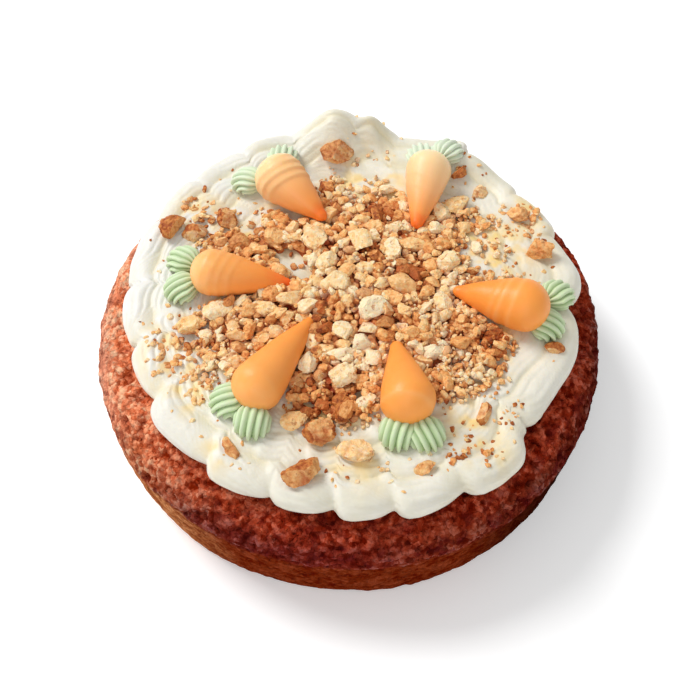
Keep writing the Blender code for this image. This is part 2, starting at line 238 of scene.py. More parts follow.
def piping(x, y, arc):
    """How far the piped surface stands out: turns of rope with fine grooves, each overlapping
    the last. arc is the way over the rope from its foot, in mm."""
    radius, angle = np.hypot(x, y), np.degrees(np.arctan2(y, x))
    depth = frosting_edge(angle) - radius
    depth = depth + 1.1 * wander(x, y, 16, 3) * smooth(depth / 8)
    out = np.zeros_like(depth)
    side = 0.5 + 0.5 * np.cos(np.radians(angle - 215))
    for number, (start, end) in enumerate(zip(LANES, LANES[1:])):
        turned = angle + SLANT * (depth - start) + LANE_SHIFT[number]
        _, share, _, _ = scallop(turned)
        inside = depth - start + (1.8 * np.sin(np.pi * share) if number else 0)
        here = inside >= 0 if number else np.ones_like(depth, bool)
        across = inside / (end - start)
        fade = (1, 0.8, 0.6, 0.4)[number]
        valley = -1.1 * smooth((across - 0.5) / 0.5) ** 2
        if number:
            valley = valley - 0.9 * smooth((0.3 - across) / 0.3) ** 2
        start_of = smooth(share / 0.15)
        overlap = 0.7 * start_of * (1 - smooth((share - 0.15) / 0.35)) - 0.3 * smooth((share - 0.6) / 0.4)
        overlap = overlap - 0.3 * (1 - start_of)
        over = arc if number == 0 else inside
        lines = over * (1 + 0.9 * smooth((share - 0.55) / 0.45) ** 2)
        lines = lines - 7 * smooth((0.32 - share) / 0.32) ** 2 + 0.6 * wander(x, y, 9, 7)
        ridge = np.abs(np.sin(np.pi * lines / GROOVE_PITCH)) ** 0.7 - 0.68
        groove = (0.28 + 0.45 * side) * ridge * (0.75 + 0.5 * wander(x, y, 10, 8))
        groove = groove * start_of * smooth((1 - share) / 0.06)
        out = np.where(here, fade * (valley + overlap * (0.4 + 0.6 * side)) + min(fade + 0.2, 1) * groove, out)
    out = out + 0.32 * wander(x, y, 13, 11) + 0.16 * wander(x, y, 5, 12)
    return out * smooth(arc / 4)


ARC_TOP = 14.5  # length of the way from the rope's foot over its outer side
DEPTH_TOP = 7.5


def frosting_top(x, y):
    """Height of the finished frosting, where it faces up."""
    radius, angle = np.hypot(x, y), np.degrees(np.arctan2(y, x))
    depth = frosting_edge(angle) - radius
    arc = ARC_TOP + depth - DEPTH_TOP
    return frosting_under(radius) + frosting_thickness(x, y) + piping(x, y, np.maximum(arc, 4))


FLAT_TOP = SPONGE_HEIGHT + 0.3 + LAYER


def heap_reach(angle):
    rows = np.array(HEAP_REACH + ((360 + HEAP_REACH[0][0], HEAP_REACH[0][1]),), float)
    angle = np.asarray(angle) % 360
    number = np.clip(np.searchsorted(rows[:, 0], angle, side="right") - 1, 0, len(rows) - 2)
    low, high = rows[number], rows[number + 1]
    share = smooth((angle - low[..., 0]) / (high[..., 0] - low[..., 0]))
    return low[..., 1] + (high[..., 1] - low[..., 1]) * share


def heap_gap(x, y):
    """Share of the heap that is missing at a place."""
    gap = np.ones_like(x)
    for gx, gy, wide, deep, amount in GAPS:
        gap *= 1 - amount * np.exp(-((((x - gx) / wide) ** 2 + ((y - gy) / deep) ** 2) ** 2))
    return 1 - gap


# Handling of pieces


def only(piece):
    bpy.ops.object.select_all(action="DESELECT")
    piece.select_set(True)
    bpy.context.view_layer.objects.active = piece


def points_of(piece):
    flat = np.empty(len(piece.data.vertices) * 3)
    piece.data.vertices.foreach_get("co", flat)
    return flat.reshape(-1, 3)


def move_points(piece, points):
    piece.data.vertices.foreach_set("co", np.ascontiguousarray(points).ravel())
    piece.data.update()


def normals_of(piece):
    flat = np.empty(len(piece.data.vertices) * 3)
    piece.data.vertex_normals.foreach_get("vector", flat)
    return flat.reshape(-1, 3)


def lathe(name, profile, steps):
    """A closed turned body, from a profile in mm drawn point by point and spun round the axis."""
    bpy.ops.object.select_all(action="DESELECT")
    radius, height = profile[0]
    bpy.ops.mesh.primitive_plane_add(size=MM, location=(radius * MM, 0, height * MM))
    piece = bpy.context.object
    piece.name = name
    bpy.ops.object.transform_apply(location=True, rotation=True, scale=True)
    bpy.ops.object.mode_set(mode="EDIT")
    bpy.ops.mesh.select_all(action="SELECT")
    bpy.ops.mesh.merge(type="CENTER")
    for (r0, z0), (r1, z1) in zip(profile, profile[1:]):
        move = ((r1 - r0) * MM, 0, (z1 - z0) * MM)
        bpy.ops.mesh.extrude_region_move(TRANSFORM_OT_translate={"value": move})
    bpy.ops.mesh.select_all(action="SELECT")
    bpy.ops.mesh.spin(steps=steps, angle=2 * math.pi, center=(0, 0, 0), axis=(0, 0, 1))
    bpy.ops.mesh.select_all(action="SELECT")
    bpy.ops.mesh.remove_doubles(threshold=1e-6)
    bpy.ops.mesh.normals_make_consistent(inside=False)
    bpy.ops.object.mode_set(mode="OBJECT")
    bpy.ops.object.shade_smooth()
    return piece


def carry(piece, name, *channels):
    """Writes one to three values for each point, for the piece's finish to read."""
    flat = np.zeros((len(piece.data.vertices), 4), np.float32)
    for index, channel in enumerate(channels):
        flat[:, index] = channel
    flat[:, 3] = 1
    layer = piece.data.attributes.new(name, "FLOAT_COLOR", "POINT")
    layer.data.foreach_set("color", flat.ravel())


def place(piece, location=(0, 0, 0), rotation=None):
    """Turns and moves a piece, and puts that into its mesh."""
    only(piece)
    piece.rotation_mode = "XYZ"
    if rotation is not None:
        piece.rotation_euler = rotation
    piece.location = [value * MM for value in location]
    bpy.ops.object.transform_apply(location=True, rotation=True, scale=True)


def hand_over(piece, finish, slot, *nodes):
    piece.data.materials.clear()
    piece.data.materials.append(finish)
    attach(piece, "root")
    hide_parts(*nodes)


# Finishes


class Finish:
    """A material that is put together node by node."""

    def __init__(self, name, roughness, **inputs):
        self.made = bpy.data.materials.new(name)
        self.made.use_nodes = True
        self.tree = self.made.node_tree
        self.shader = self.tree.nodes["Principled BSDF"]
        self.shader.inputs["Roughness"].default_value = roughness
        for key, value in inputs.items():
            self.shader.inputs[key.replace("_", " ")].default_value = value
        self.place = self.add("ShaderNodeTexCoord").outputs["Object"]

    def add(self, kind, links=None, **settings):
        made = self.tree.nodes.new(kind)
        for key, value in settings.items():
            setattr(made, key, value)
        for socket, value in (links or {}).items():
            if isinstance(value, bpy.types.NodeSocket):
                self.tree.links.new(value, made.inputs[socket])
            else:
                made.inputs[socket].default_value = value
        return made

    def noise(self, size, detail=3, roughness=0.55, distortion=0):
        """Noise from 0 to 1 with features of this size in mm."""
        settings = {"Scale": 1000 / size, "Detail": detail, "Roughness": roughness}
        settings.update({"Distortion": distortion, "Vector": self.place})
        return self.add("ShaderNodeTexNoise", settings).outputs["Fac"]

    def granules(self, size):
        """Uneven granules of this size: distance from each one's middle, and its own value."""
        bent = self.add("ShaderNodeTexNoise", {"Scale": 1400 / size, "Detail": 2.0, "Vector": self.place})
        bent = self.add(
            "ShaderNodeVectorMath", {0: bent.outputs["Color"], 1: (size * MM * 0.9,) * 3, 2: self.place},
            operation="MULTIPLY_ADD",
        )
        cells = self.add("ShaderNodeTexVoronoi", {"Scale": 1000 / size, "Vector": bent.outputs["Vector"]})
        own = self.add("ShaderNodeSeparateColor", {"Color": cells.outputs["Color"]})
        return cells.outputs["Distance"], own.outputs["Red"]

    def ramp(self, value, *stops):
        """Colours or greys at positions along a value."""
        made = self.add("ShaderNodeValToRGB", {"Fac": value})
        band = made.color_ramp
        while len(band.elements) < len(stops):
            band.elements.new(0.5)
        for element, (position, color) in zip(band.elements, stops):
            element.position = position
            element.color = (*color, 1) if isinstance(color, tuple) else (color, color, color, 1)
        return made.outputs["Color"]

    def math(self, operation, a, b=0.0):
        return self.add("ShaderNodeMath", {0: a, 1: b}, operation=operation).outputs[0]

    def mix(self, share, a, b, blend="MIX"):
        made = self.add("ShaderNodeMix", data_type="RGBA", blend_type=blend)
        for socket, value in ((0, share), (6, a), (7, b)):
            if isinstance(value, bpy.types.NodeSocket):
                self.tree.links.new(value, made.inputs[socket])
            elif socket:
                made.inputs[socket].default_value = (*value, 1)
            else:
                made.inputs[socket].default_value = value
        return made.outputs[2]

    def height(self):
        """Height above the base in mm."""
        split = self.add("ShaderNodeSeparateXYZ", {"Vector": self.place})
        return self.math("MULTIPLY", split.outputs["Z"], 1000.0)

    def across(self, direction, start):
        """How far across the cake a place lies, from 0 to 1, in a direction seen from above."""
        split = self.add("ShaderNodeSeparateXYZ", {"Vector": self.place})
        x = self.math("MULTIPLY", split.outputs["X"], 5.0 * direction[0])
        y = self.math("MULTIPLY", split.outputs["Y"], 5.0 * direction[1])
        return self.math("ADD", self.math("ADD", x, y), 0.5 + start)

    def attribute(self, name):
        """The three channels that a piece carries."""
        own = self.add("ShaderNodeAttribute", attribute_name=name).outputs["Color"]
        split = self.add("ShaderNodeSeparateColor", {"Color": own})
        return [split.outputs[channel] for channel in ("Red", "Green", "Blue")]

    def color(self, socket):
        self.tree.links.new(socket, self.shader.inputs["Base Color"])

    def rough(self, socket):
        self.tree.links.new(socket, self.shader.inputs["Roughness"])

    def bump(self, *layers):
        """Bumps from pairs of a height and its depth in mm."""
        normal = None
        for value, depth in layers:
            links = {"Height": value, "Strength": 1.0, "Distance": depth * MM}
            if normal is not None:
                links["Normal"] = normal
            normal = self.add("ShaderNodeBump", links).outputs["Normal"]
        self.tree.links.new(normal, self.shader.inputs["Normal"])


def crust_finish():
    """Crust of baked granules: red-brown with dark blotches. It is paler and pinker towards the side the light comes
    from and darker on the far side: painted light and shade, with some uneven browning.
    """
    finish = Finish("browned_crust", 0.55, Specular_IOR_Level=0.0)
    apart, own = finish.granules(1.9)
    # painted shade from the sponge's own relief: darker in the pits, lighter on the crumbs
    painted_relief_shade, _, _ = finish.attribute("crumb")
    crumbs = finish.noise(2.2, 3, 0.6, 0.3)
    patches = finish.noise(6.5, 3, 0.6)
    shade = finish.math("ADD", finish.math("MULTIPLY", own, 0.17), finish.math("MULTIPLY", crumbs, 0.32))
    shade = finish.math("ADD", shade, finish.math("MULTIPLY", patches, 0.33))
    shade = finish.math("ADD", shade, finish.math("MULTIPLY", painted_relief_shade, 0.18))
    # across runs from the far side (0) to the side the key light comes from (1); the palettes below follow it as
    # painted light and shade, with some uneven browning
    across = finish.across((-0.966, 0.259), 0.0)
    pale = finish.math("ADD", across, finish.math("MULTIPLY", finish.noise(24, 2), 0.2))
    top = finish.ramp(
        shade, (0.38, (0.15, 0.007, 0.001)), (0.45, (0.245, 0.02, 0.006)), (0.5, (0.325, 0.035, 0.012)),
        (0.55, (0.41, 0.057, 0.022)), (0.62, (0.56, 0.107, 0.055)),
    )
    redder = finish.ramp(
        shade, (0.37, (0.3, 0.025, 0.003)), (0.44, (0.56, 0.1, 0.033)), (0.5, (0.75, 0.18, 0.075)),
        (0.55, (0.92, 0.28, 0.13)), (0.62, (1.0, 0.48, 0.26)),
    )
    paler = finish.ramp(
        shade, (0.37, (0.55, 0.105, 0.028)), (0.44, (0.74, 0.18, 0.07)), (0.5, (0.91, 0.29, 0.13)),
        (0.55, (1.0, 0.44, 0.25)), (0.62, (1.0, 0.58, 0.34)),
    )
    top = finish.mix(finish.ramp(pale, (0.6, 0.0), (0.77, 0.3), (0.9, 1.0)), top, redder)
    top = finish.mix(finish.ramp(pale, (0.9, 0.0), (1.06, 1.0)), top, paler)
    side = finish.ramp(
        shade, (0.38, (0.12, 0.007, 0.001)), (0.45, (0.17, 0.019, 0.003)), (0.5, (0.195, 0.027, 0.006)),
        (0.55, (0.22, 0.034, 0.009)), (0.62, (0.27, 0.047, 0.016)),
    )
    redder = finish.ramp(
        shade, (0.38, (0.34, 0.09, 0.028)), (0.5, (0.56, 0.2, 0.068)), (0.62, (0.78, 0.35, 0.15)),
    )
    paler = finish.ramp(
        shade, (0.38, (0.42, 0.13, 0.06)), (0.5, (0.8, 0.4, 0.24)), (0.62, (0.96, 0.57, 0.37)),
    )
    side = finish.mix(finish.ramp(pale, (0.66, 0.0), (0.89, 1.0)), side, redder)
    side = finish.mix(finish.ramp(pale, (0.9, 0.0), (1.06, 1.0)), side, paler)
    # painted shade: the side wall that faces away from the light is darkened
    painted_shade = finish.ramp(across, (0.03, 0.08), (0.1, 0.26), (0.19, 1.0))
    side = finish.mix(1.0, side, painted_shade, "MULTIPLY")
    wavy = finish.math("ADD", finish.height(), finish.math("MULTIPLY", finish.noise(9, 3, 0.6), 8.0))
    wavy = finish.math("MULTIPLY", wavy, 0.01)
    plum = finish.ramp(
        across, (0.0, (0.5, 0.75, 1.0)), (0.2, (0.75, 0.95, 1.0)), (0.41, (0.7, 0.7, 1.0)),
        (0.55, (0.52, 0.5, 0.8)), (0.67, (0.64, 0.72, 0.95)), (0.79, (0.82, 0.97, 1.0)),
        (0.9, (1.0, 1.0, 1.0)),
    )
    # the lower band of the shoulder is plum, set direction by direction; towards the lit side it is mixed with pink as
    # a painted highlight
    low = finish.mix(1.0, top, plum, "MULTIPLY")
    low = finish.mix(finish.ramp(across, (0.8, 0.0), (0.92, 0.45)), low, (0.95, 0.46, 0.31))
    top = finish.mix(finish.ramp(wavy, (0.425, 1.0), (0.47, 0.0)), top, low)
    on_top = finish.ramp(wavy, (0.355, 0.0), (0.375, 1.0))
    skin = finish.mix(on_top, side, top)
    blotch = finish.ramp(finish.noise(5, 3, 0.6, 0.4), (0.42, 1.0), (0.5, 0.0))
    line = finish.ramp(wavy, (0.35, 0.0), (0.375, 1.0), (0.41, 0.8), (0.45, 0.0))
    dark = finish.math("MULTIPLY", line, finish.math("ADD", finish.math("MULTIPLY", blotch, 0.6), 0.2))
    scattered = finish.math("MULTIPLY", finish.ramp(wavy, (0.37, 0.0), (0.4, 0.35)), blotch)
    dark = finish.math("MAXIMUM", dark, scattered)
    skin = finish.mix(dark, skin, finish.mix(own, (0.07, 0.004, 0.005), (0.17, 0.017, 0.019)))
    # painted shade in the gaps between the granules
    gap_shade = finish.ramp(apart, (0.5, 0.0), (0.9, 0.6))
    finish.color(finish.mix(gap_shade, skin, finish.mix(0.75, skin, (0.06, 0.006, 0.005))))
    gloss = finish.math("MULTIPLY", finish.ramp(shade, (0.54, 0.0), (0.64, 0.12)), on_top)
    finish.tree.links.new(gloss, finish.shader.inputs["Specular IOR Level"])
    finish.bump((crumbs, 1.3), (finish.math("SUBTRACT", 1.0, apart), 1.0), (finish.noise(0.8, 2), 0.3))
    return finish.made


def frosting_finish():
    """Cream, with painted shade that makes its grooves darker and yellower, and painted light that makes it whiter
    towards the lit side.
    """
    finish = Finish(
        "cream_frosting", 0.45, Subsurface_Weight=0.12, Subsurface_Radius=(1, 0.8, 0.5),
        Subsurface_Scale=0.0012, Specular_IOR_Level=0.35,
    )
    groove, dust, _ = finish.attribute("piped")
    tint = finish.ramp(finish.noise(11, 3), (0.35, (0.75, 0.72, 0.6)), (0.65, (0.81, 0.785, 0.69)))
    # painted light: whiter towards the side the light comes from
    lit_side_whitening = finish.ramp(finish.across((-0.966, 0.259), 0.0), (0.55, 0.0), (0.95, 0.85))
    tint = finish.mix(lit_side_whitening, tint, (0.785, 0.775, 0.74))
    # painted shade in the grooves
    tint = finish.mix(groove, tint, (0.74, 0.67, 0.47))
    finish.color(finish.mix(dust, tint, (0.88, 0.66, 0.27)))
    finish.bump((finish.noise(3, 3), 0.3), (finish.noise(0.9, 2), 0.1))
    return finish.made


def carrot_finish():
    """Orange, redder towards the tip and paler at the fat end, partly as painted light; with painted highlights on the
    ripple crests and a painted wash of light on the carrots on the lit side.
    """
    finish = Finish(
        "piped_orange", 0.42, Subsurface_Weight=0.25, Subsurface_Radius=(1, 0.45, 0.15),
        Subsurface_Scale=0.0015, Specular_IOR_Level=0.35,
    )
    share, crest_highlight, painted_light_wash = finish.attribute("piping")
    mottled = finish.math("ADD", share, finish.math("MULTIPLY", finish.math("SUBTRACT", finish.noise(6, 3), 0.5), 0.25))
    tint = finish.ramp(
        mottled, (0.0, (1.0, 0.5, 0.17)), (0.22, (1.0, 0.39, 0.08)),
        (0.8, (1.0, 0.31, 0.045)), (1.0, (0.97, 0.15, 0.012)),
    )
    # painted highlight on the ripple crests
    tint = finish.mix(finish.math("MULTIPLY", crest_highlight, 0.5), tint, (1.0, 0.62, 0.28))
    # painted light washed over the fat end of the carrots on the lit side
    tint = finish.mix(painted_light_wash, tint, (1.0, 0.82, 0.5))
    finish.color(tint)
    finish.bump((finish.noise(2.5, 3), 0.12), (finish.noise(0.7, 2), 0.04))
    return finish.made


def leaf_finish():
    """Pale green, with painted shade between the ribs and painted light washed over the leaves of the lit carrots."""
    finish = Finish(
        "piped_green", 0.5, Subsurface_Weight=0.15, Subsurface_Radius=(0.7, 1, 0.5),
        Subsurface_Scale=0.001, Specular_IOR_Level=0.3,
    )
    rib, painted_light_wash, _ = finish.attribute("rib")
    tint = finish.ramp(rib, (0.0, (0.22, 0.36, 0.13)), (0.45, (0.46, 0.6, 0.33)), (1.0, (0.66, 0.78, 0.52)))
    tint = finish.mix(finish.math("MULTIPLY", finish.noise(5, 2), 0.4), tint, (0.5, 0.62, 0.32))
    # painted light washed over the leaves of the carrots on the lit side
    finish.color(finish.mix(painted_light_wash, tint, (0.78, 0.84, 0.72)))
    finish.bump((finish.noise(1.2, 2), 0.06))
    return finish.made


def nut_finish():
    """Pale broken walnut with brown skin: tone, skin, and painted shade for depth in the heap come with each piece."""
    finish = Finish(
        "chopped_walnut", 0.55, Subsurface_Weight=0.2, Subsurface_Radius=(1, 0.55, 0.25),
        Subsurface_Scale=0.0009, Specular_IOR_Level=0.25,
    )
    tone, skin, depth = finish.attribute("nut")
    grain = finish.noise(1.7, 3, 0.6)
    mottle = finish.math("ADD", tone, finish.math("MULTIPLY", finish.math("SUBTRACT", grain, 0.5), 1.3))
    flesh = finish.ramp(
        mottle, (0.0, (0.52, 0.13, 0.025)), (0.3, (0.88, 0.41, 0.13)),
        (0.65, (0.98, 0.64, 0.29)), (1.0, (0.98, 0.82, 0.55)),
    )
    speck = finish.ramp(finish.noise(2.6, 4, 0.65), (0.6, 0.0), (0.66, 0.7))
    flesh = finish.mix(speck, flesh, (0.5, 0.16, 0.045))
    brown = finish.ramp(
        finish.math("ADD", grain, finish.math("MULTIPLY", tone, 0.25)),
        (0.35, (0.13, 0.022, 0.007)), (0.55, (0.44, 0.115, 0.022)), (0.85, (0.78, 0.33, 0.085)),
    )
    surface = finish.mix(skin, flesh, brown)
    # painted shade: dark red-brown on the pieces that lie deep in the heap and in the hollows of the loose walnuts
    deep = finish.mix(0.92, surface, (0.55, 0.12, 0.035), "MULTIPLY")
    finish.color(finish.mix(depth, surface, deep))
    finish.bump((grain, 0.9), (finish.noise(0.7, 3), 0.35))
    return finish.made


# Pieces


def make_sponge(finish):
    """Turned sponge whose crust is pushed into crumbs and cracks."""
    inner = SPONGE_RADIUS - SHOULDER_WIDTH
    profile = [(0, SPONGE_HEIGHT), (40, SPONGE_HEIGHT), (66, SPONGE_HEIGHT), (74, SPONGE_HEIGHT)]
    profile += [(78 + step * 0.9, SPONGE_HEIGHT) for step in range(7)]
    for turn in range(0, 91, 3):
        radius = inner + SHOULDER_WIDTH * math.sin(math.radians(turn))
        profile.append((radius, float(sponge_top(radius))))
    side_top = SPONGE_HEIGHT - SHOULDER_DROP
    for step in range(1, 36):
        share = step / 39
        profile.append((SPONGE_RADIUS - SIDE_TAPER * share**1.6, side_top * (1 - share)))
    foot = SPONGE_RADIUS - SIDE_TAPER - FOOT_ROUNDING
    for turn in range(0, 91, 18):
        out, down = math.cos(math.radians(turn)), math.sin(math.radians(turn))
        profile.append((foot + FOOT_ROUNDING * out, FOOT_ROUNDING * (1 - down)))
    profile += [(80, 0), (40, 0), (0, 0)]
    piece = lathe("cake_sponge", profile, SPONGE_STEPS)

    points, normals = points_of(piece) / MM, normals_of(piece)
    x, y, z = points.T
    around = np.degrees(np.arctan2(y, x))
    lip = CRUST_LIP * np.exp(-(((around - CRUST_LIP_TURN) / CRUST_LIP_WIDTH) ** 2))
    z += lip * smooth((np.hypot(x, y) - 91) / 6) * smooth((z - 18) / 14)
    along = around * math.pi / 180 * 95
    up = z - np.hypot(x, y)
    crumb = wander(along, up, 2.3, 21) + 0.6 * wander(along, up, 1.3, 22)
    lump = wander(along, up, 5.5, 23)
    broad = wander(along, up, 26, 24)
    on_top = smooth((z - 31) / 5)
    out = on_top * (0.5 * crumb + 0.5 * lump) + (1 - on_top) * (0.22 * crumb + 0.2 * lump)
    pit = np.clip(wander(along, up, 3.3, 25) - 0.35, 0, 1)
    out = out - 3 * pit * (0.3 + 0.7 * on_top) + 0.5 * broad - 0.2
    out = out * smooth(z / 3) * smooth((np.hypot(x, y) - 70) / 8)
    move_points(piece, (points + normals * out[:, None]) * MM)
    # painted shade for the crust's colour: darker in the pits and lighter on the crumbs
    carry(piece, "crumb", np.clip(0.5 + 0.3 * crumb + 0.3 * lump - 0.6 * pit, 0, 1))
    hand_over(piece, finish, "sponge_crust", "sponge")
    return piece


def make_frosting(finish):
    """A turned blank whose points carry depth and level, then take the piped shape."""
    profile = [(0, 0), (50, 0), (80, 0)]
    for turn in range(-90, 0, 15):
        out = math.cos(math.radians(turn))
        profile.append((100 - 4 * (1 - out), 40 * (1 + math.sin(math.radians(turn)))))
    for turn in range(0, 91, 5):
        out = max(math.cos(math.radians(turn)), 0) ** 0.85
        profile.append((100 - DEPTH_TOP / 0.88 * (1 - out), 40 + 60 * math.sin(math.radians(turn))))
    depth = DEPTH_TOP / 0.88
    while depth < 50:
        depth += 0.45
        profile.append((100 - depth, 100))
    profile += [(100 - depth, 100) for depth in (54, 59, 65, 72, 80, 89)] + [(0, 100)]
    piece = lathe("piped_frosting", profile, FROSTING_STEPS)

    points = points_of(piece) / MM
    x, y, level = points.T
    level = level / 100
    share, angle = np.hypot(x, y) / 100, np.degrees(np.arctan2(y, x))
    edge = frosting_edge(angle)
    radius = edge * share
    x, y = polar(radius, angle)
    foot = np.where(share < 0.9, -1.2, -1.2 * smooth((0.985 - share) / 0.05))
    z = frosting_under(radius) + foot * (level < 0.01) + level * frosting_thickness(x, y)
    move_points(piece, np.stack([x, y, z], 1) * MM)
    turn = np.degrees(np.arcsin(np.clip(np.where(level < 0.4, level / 0.4 - 1, (level - 0.4) / 0.6), -1, 1)))
    arc = np.where(level < 0.4, (turn + 90) / 90 * 4.8, 4.8 + turn / 90 * 9.7)
    arc = np.where(level > 0.999, ARC_TOP + edge - radius - DEPTH_TOP, arc)
    arc = np.where((level < 0.01), 0, arc)
    out = piping(x, y, arc)
    points = points_of(piece) + normals_of(piece) * out[:, None] * MM
    move_points(piece, points)
    only(piece)
    bpy.ops.object.mode_set(mode="EDIT")
    bpy.ops.mesh.select_all(action="SELECT")
    bpy.ops.mesh.vertices_smooth(factor=0.5, repeat=2)
    bpy.ops.object.mode_set(mode="OBJECT")
    x, y, _ = points_of(piece).T / MM
    angle = np.degrees(np.arctan2(y, x))
    near = smooth((heap_reach(angle) + 8 - np.hypot(x, y)) / 10)
    for sx, sy, spread in SMEARS:
        near = np.maximum(near, np.exp(-(((x - sx) ** 2 + (y - sy) ** 2) / spread**2)))
    near = near * (1 - np.exp(-(((x + 21) / 11) ** 2 + ((y - 15) / 9) ** 2)))
    dust = near * np.clip(0.4 + 0.9 * wander(x, y, 4.5, 61) + 0.5 * wander(x, y, 2, 62), 0, 1)
    # the first channel is painted shade in the grooves; the second is nut dust and oil
    carry(piece, "piped", np.clip(0.1 - out / 1.6, 0, 1) * (arc > 3), dust)
    hand_over(piece, finish, "frosting_cream", "frosting")
    return piece


def make_carrot(number, row, ripples, tints, finish):
    """A turned teardrop with faint ripples where the piping built up."""
    place_, tip, fat, thin, bend = row[:5]
    start = Vector((*polar(*place_), FLAT_TOP + fat - CARROT_SINK))
    end = Vector((*polar(*tip), FLAT_TOP + thin + TIP_LIFT))
    length = (end - start).length
    profile = []
    for turn in range(0, 86, 5):
        out, down = math.sin(math.radians(turn)), math.cos(math.radians(turn))
        profile.append((fat * out, -fat * CARROT_END * down))
    for step in range(1, 41):
        share = step / 40
        profile.append((fat + (thin - fat) * share**bend, length * share))
    for turn in range(15, 91, 15):
        out, up = math.cos(math.radians(turn)), math.sin(math.radians(turn))
        profile.append((thin * out, length + thin * up))
    piece = lathe(f"carrot_{number}_piped", profile, 72)
    points = points_of(piece) / MM
    x, y, z = points.T
    around = np.arctan2(y, x)
    out = 0.18 * wander(z, around * 4, 6, 40 + number) * (np.hypot(x, y) > 0.5)
    # painted highlight along the crest of each ripple
    crest_highlight = np.zeros_like(z)
    for share, deep in ripples:
        away = z - share * length - 2.2 * np.cos(around) + 0.4 * np.sin(2 * around + number)
        step = np.exp(-((away / 3) ** 2)) * (away < 0) + np.exp(-((away / 0.45) ** 2)) * (away >= 0)
        out = out + deep * (step - 0.4)
        crest_highlight = np.maximum(crest_highlight, np.exp(-(((away + 0.7) / 0.8) ** 2)) * min(deep * 1.3, 1))
    grow = 1 + out / np.maximum(np.hypot(x, y), 1.5)
    points = np.stack([x * grow, y * grow, z], 1)
    move_points(piece, points * MM)
    share = np.clip((z + fat * 0.6) / (length + fat * 0.6), 0, 1)
    # the third channel is painted light washed over the fat end
    carry(piece, "piping", tints[0] + (tints[1] - tints[0]) * share, crest_highlight, tints[2] * (1 - share))
    place(piece, start, (end - start).to_track_quat("Z", "Y").to_euler())
    hand_over(piece, finish, "carrot_orange", f"carrot_{number}")
    return piece


def make_leaf(name, row, direction, distance, seed, painted_light_wash, finish):
    """A piped shell: ribs that fan out from under the carrot, then roll over and down."""
    bpy.ops.object.select_all(action="DESELECT")
    bpy.ops.mesh.primitive_uv_sphere_add(segments=140, ring_count=30, radius=1)
    piece = bpy.context.object
    piece.name = "piped_" + name
    points = points_of(piece)
    x, y, z = points.T
    around = np.arctan2(y, x) + 0.12 * np.sin(seed * 2.1 + 2 * z)
    rib = np.abs(np.cos(LEAF_RIDGES / 2 * around)) ** 0.75
    away = np.sqrt(np.clip(1 - z * z, 0, 1))
    depth = 0.26 * smooth((away - 0.12) / 0.55)
    points = points * (1 - depth * (1 - rib))[:, None]
    # painted shade between the ribs; the second channel is the painted light wash
    carry(piece, "rib", 1 - (1 - rib) * smooth(away / 0.5), painted_light_wash)
    x, y, z = points.T
    blunt = np.sqrt((1 + np.maximum(z, 0) ** 2) * (1 + np.maximum(z, 0) ** 4))
    x, y = x * blunt, y * blunt
    fan = 0.56 + 0.38 * smooth((z + 1) / 1.1)
    roll = np.maximum(z, 0) * math.radians(LEAF_ROLL)
    bend = 1 / math.radians(LEAF_ROLL)
    out = np.where(z > 0, bend * np.sin(roll), z) + x * np.sin(roll)
    up = np.where(z > 0, bend * (np.cos(roll) - 1), 0) + x * np.cos(roll)
    points = np.stack([up * LEAF_HEIGHT / 2, y * fan * LEAF_WIDTH / 2, out * LEAF_LENGTH / 2], 1)
    move_points(piece, points * MM)
    bpy.ops.object.shade_smooth()
    (radius, turn) = row[0]
    root = Vector((*polar(radius, turn), 0))
    outward = Vector((*polar(1, direction), 0))
    middle = root + outward * distance
    height = frosting_under(math.hypot(middle.x, middle.y)) + frosting_thickness(middle.x, middle.y)
    middle.z = float(height) + LEAF_HEIGHT / 2 - LEAF_SINK
    sideways = outward.cross(Vector((0, 0, 1)))
    axes = Matrix((Vector((0, 0, 1)), sideways, outward)).transposed()
    place(piece, middle, axes.to_euler())
    hand_over(piece, finish, "leaf_green", name)
    return piece


# Chopped walnuts


def nut_master(name, seed, detail, cuts, rough):
    """A broken nut, 1 across: a lump pushed about, then flattened where it was cut.
    Returns its points, its faces, and which points lie on a cut."""
    rng = np.random.default_rng(seed)
    bpy.ops.object.select_all(action="DESELECT")
    bpy.ops.mesh.primitive_ico_sphere_add(subdivisions=detail, radius=0.5)
    piece = bpy.context.object
    piece.name = name
    points = points_of(piece)
    shape = rng.uniform(-1, 1, (3, 3)) * 5
    waves = np.sin(points @ shape + rng.uniform(0, 6, 3)).sum(1) / 3
    points = points * (1 + 0.45 * waves)[:, None]
    broken = np.zeros(len(points), bool)
    for _ in range(cuts):
        normal = rng.normal(size=3)
        normal /= np.linalg.norm(normal)
        reach = (points @ normal).max() * rng.uniform(0.5, 0.78)
        over = np.clip(points @ normal - reach, 0, None)
        broken |= over > 0
        points = points - over[:, None] * normal
    fine = np.sin(points @ (shape * 3.5) + rng.uniform(0, 6, 3)).sum(1) / 3
    push = rough * (0.6 * fine + rng.uniform(-0.4, 0.4, len(points)))
    points = points * (1 + push * np.where(broken, 0.6, 1))[:, None]
    points = points / (points.max(0) - points.min(0))
    move_points(piece, points)
    faces = np.array([list(face.vertices) for face in piece.data.polygons])
    return piece, points, faces, broken


def nut_masters(kind, count, detail, cuts, rough):
    shapes = []
    for number in range(count):
        piece, points, faces, broken = nut_master(f"{kind}_{number}", 100 * detail + number, detail, cuts, rough)
        shapes.append((points, faces, broken[faces].all(1)))
        bpy.data.objects.remove(piece)
    return shapes


def turned(rng, tilt, turn=None):
    """A turn about the vertical with a random tilt, and a random roll of the piece itself."""
    spin = Matrix.Rotation(rng.uniform(0, 2 * math.pi) if turn is None else math.radians(turn), 3, "Z")
    lean = Matrix.Rotation(rng.uniform(-tilt, tilt), 3, Vector((*rng.normal(size=2), 0)).normalized())
    roll = Matrix.Rotation(rng.uniform(0, 2 * math.pi), 3, Vector(rng.normal(size=3)).normalized())
    return np.array(lean @ spin), np.array(roll)


